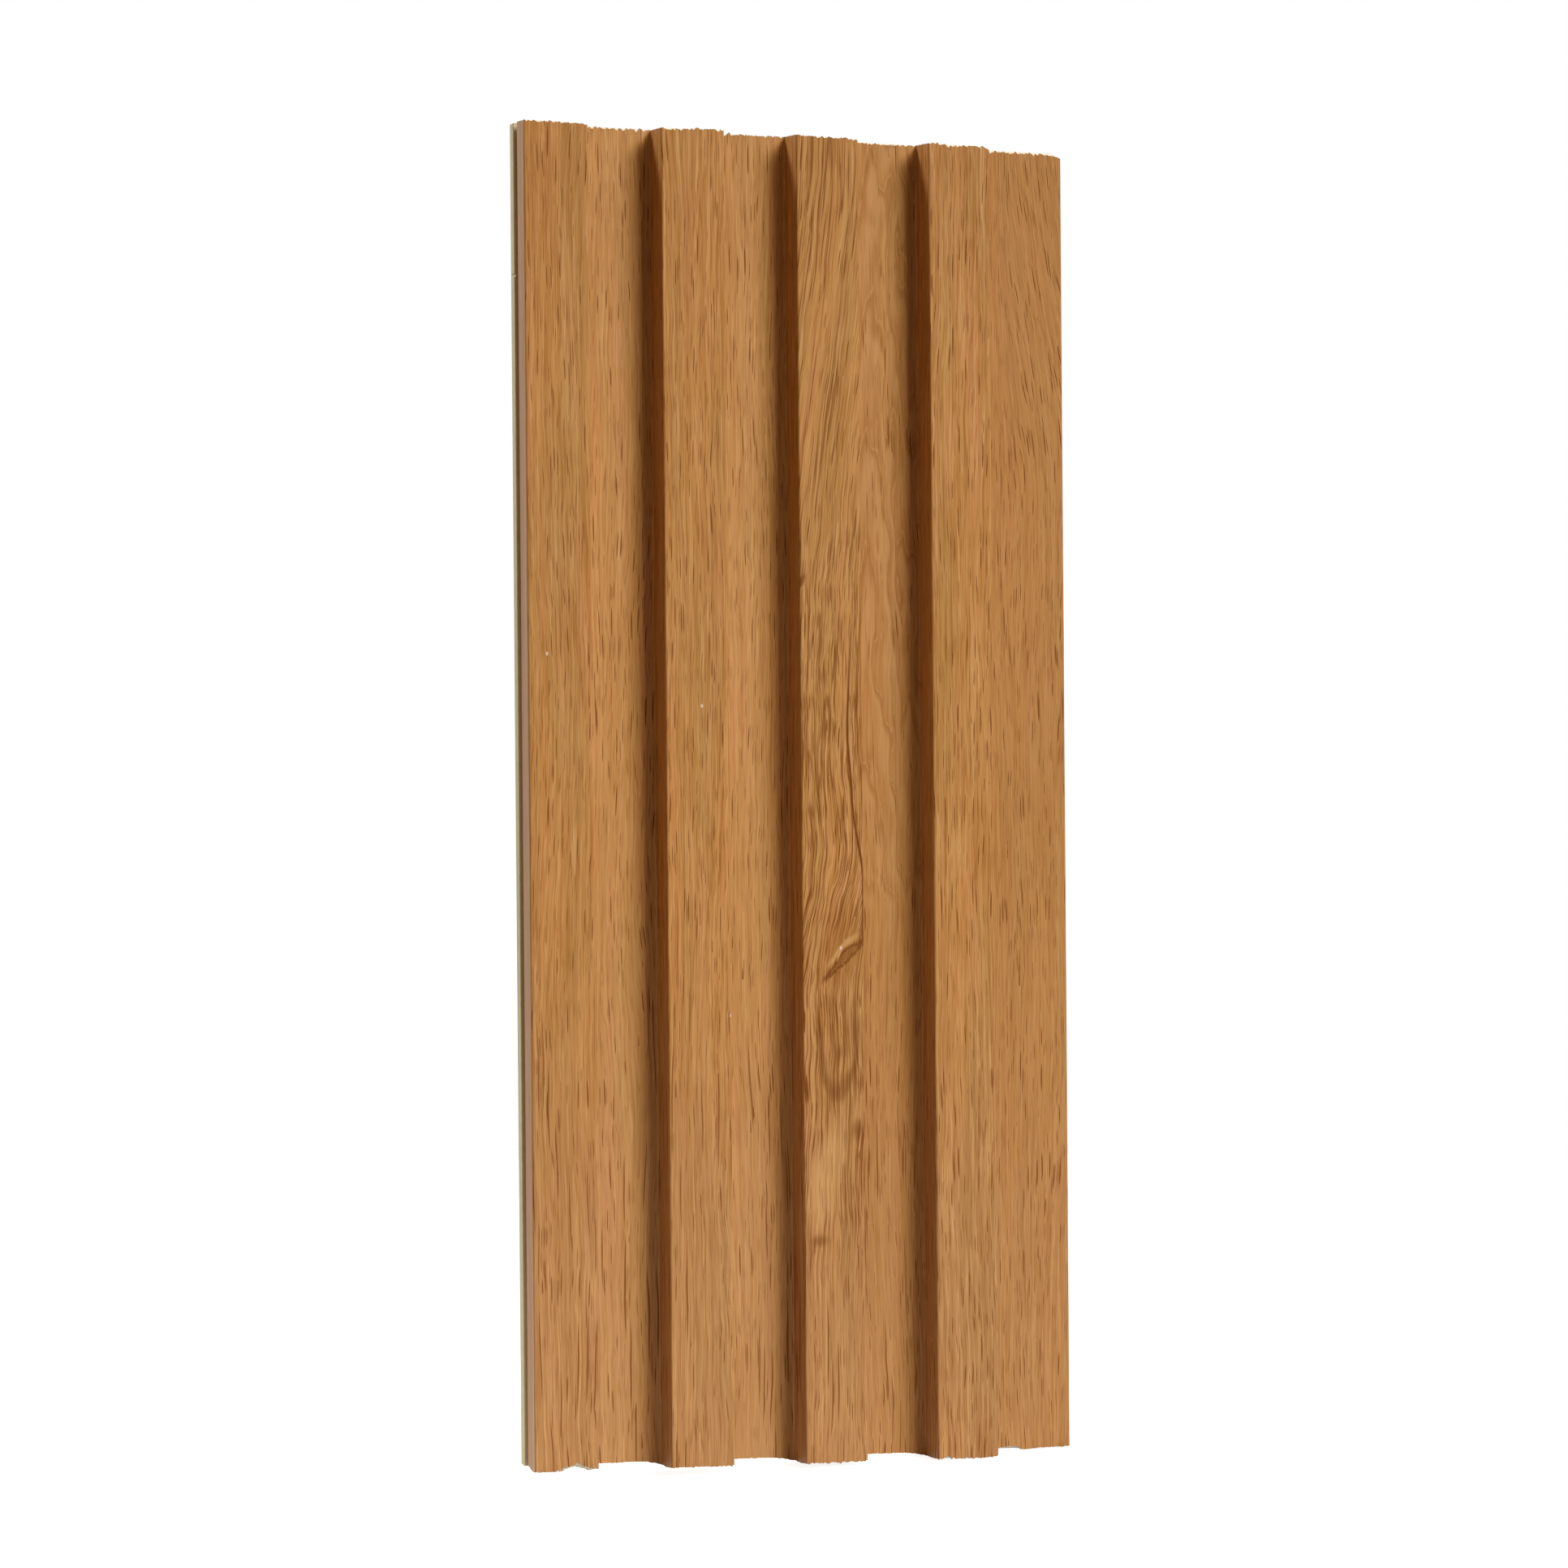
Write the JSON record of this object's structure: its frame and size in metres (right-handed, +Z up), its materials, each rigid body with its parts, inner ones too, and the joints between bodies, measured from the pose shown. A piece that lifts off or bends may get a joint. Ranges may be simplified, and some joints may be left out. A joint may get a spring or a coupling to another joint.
{
  "type": "slat wall panel",
  "caption": "Short sawn sample of a slatted wall panel: raised flat slats and recesses in an oak-grain film over a foam core, with a tongue and a groove along its sides.",
  "frame": {"origin": "middle of the back face, halfway between the two pitch lines and halfway along the slats", "axes": "+X across the slats towards the tongue, +Y out of the back face towards the wall, +Z up along the slats, so the slats face -Y"},
  "size_m": [0.1258, 0.012, 0.2905],
  "materials": {
    "foam_core": "raw rigid foam, fine closed cells where it is sawn",
    "oak_film": "satin decor film with an oak grain"
  },
  "bodies": {
    "root": {"panel_core": "foam_core", "decor_film": "oak_film"}
  },
  "joints": []
}
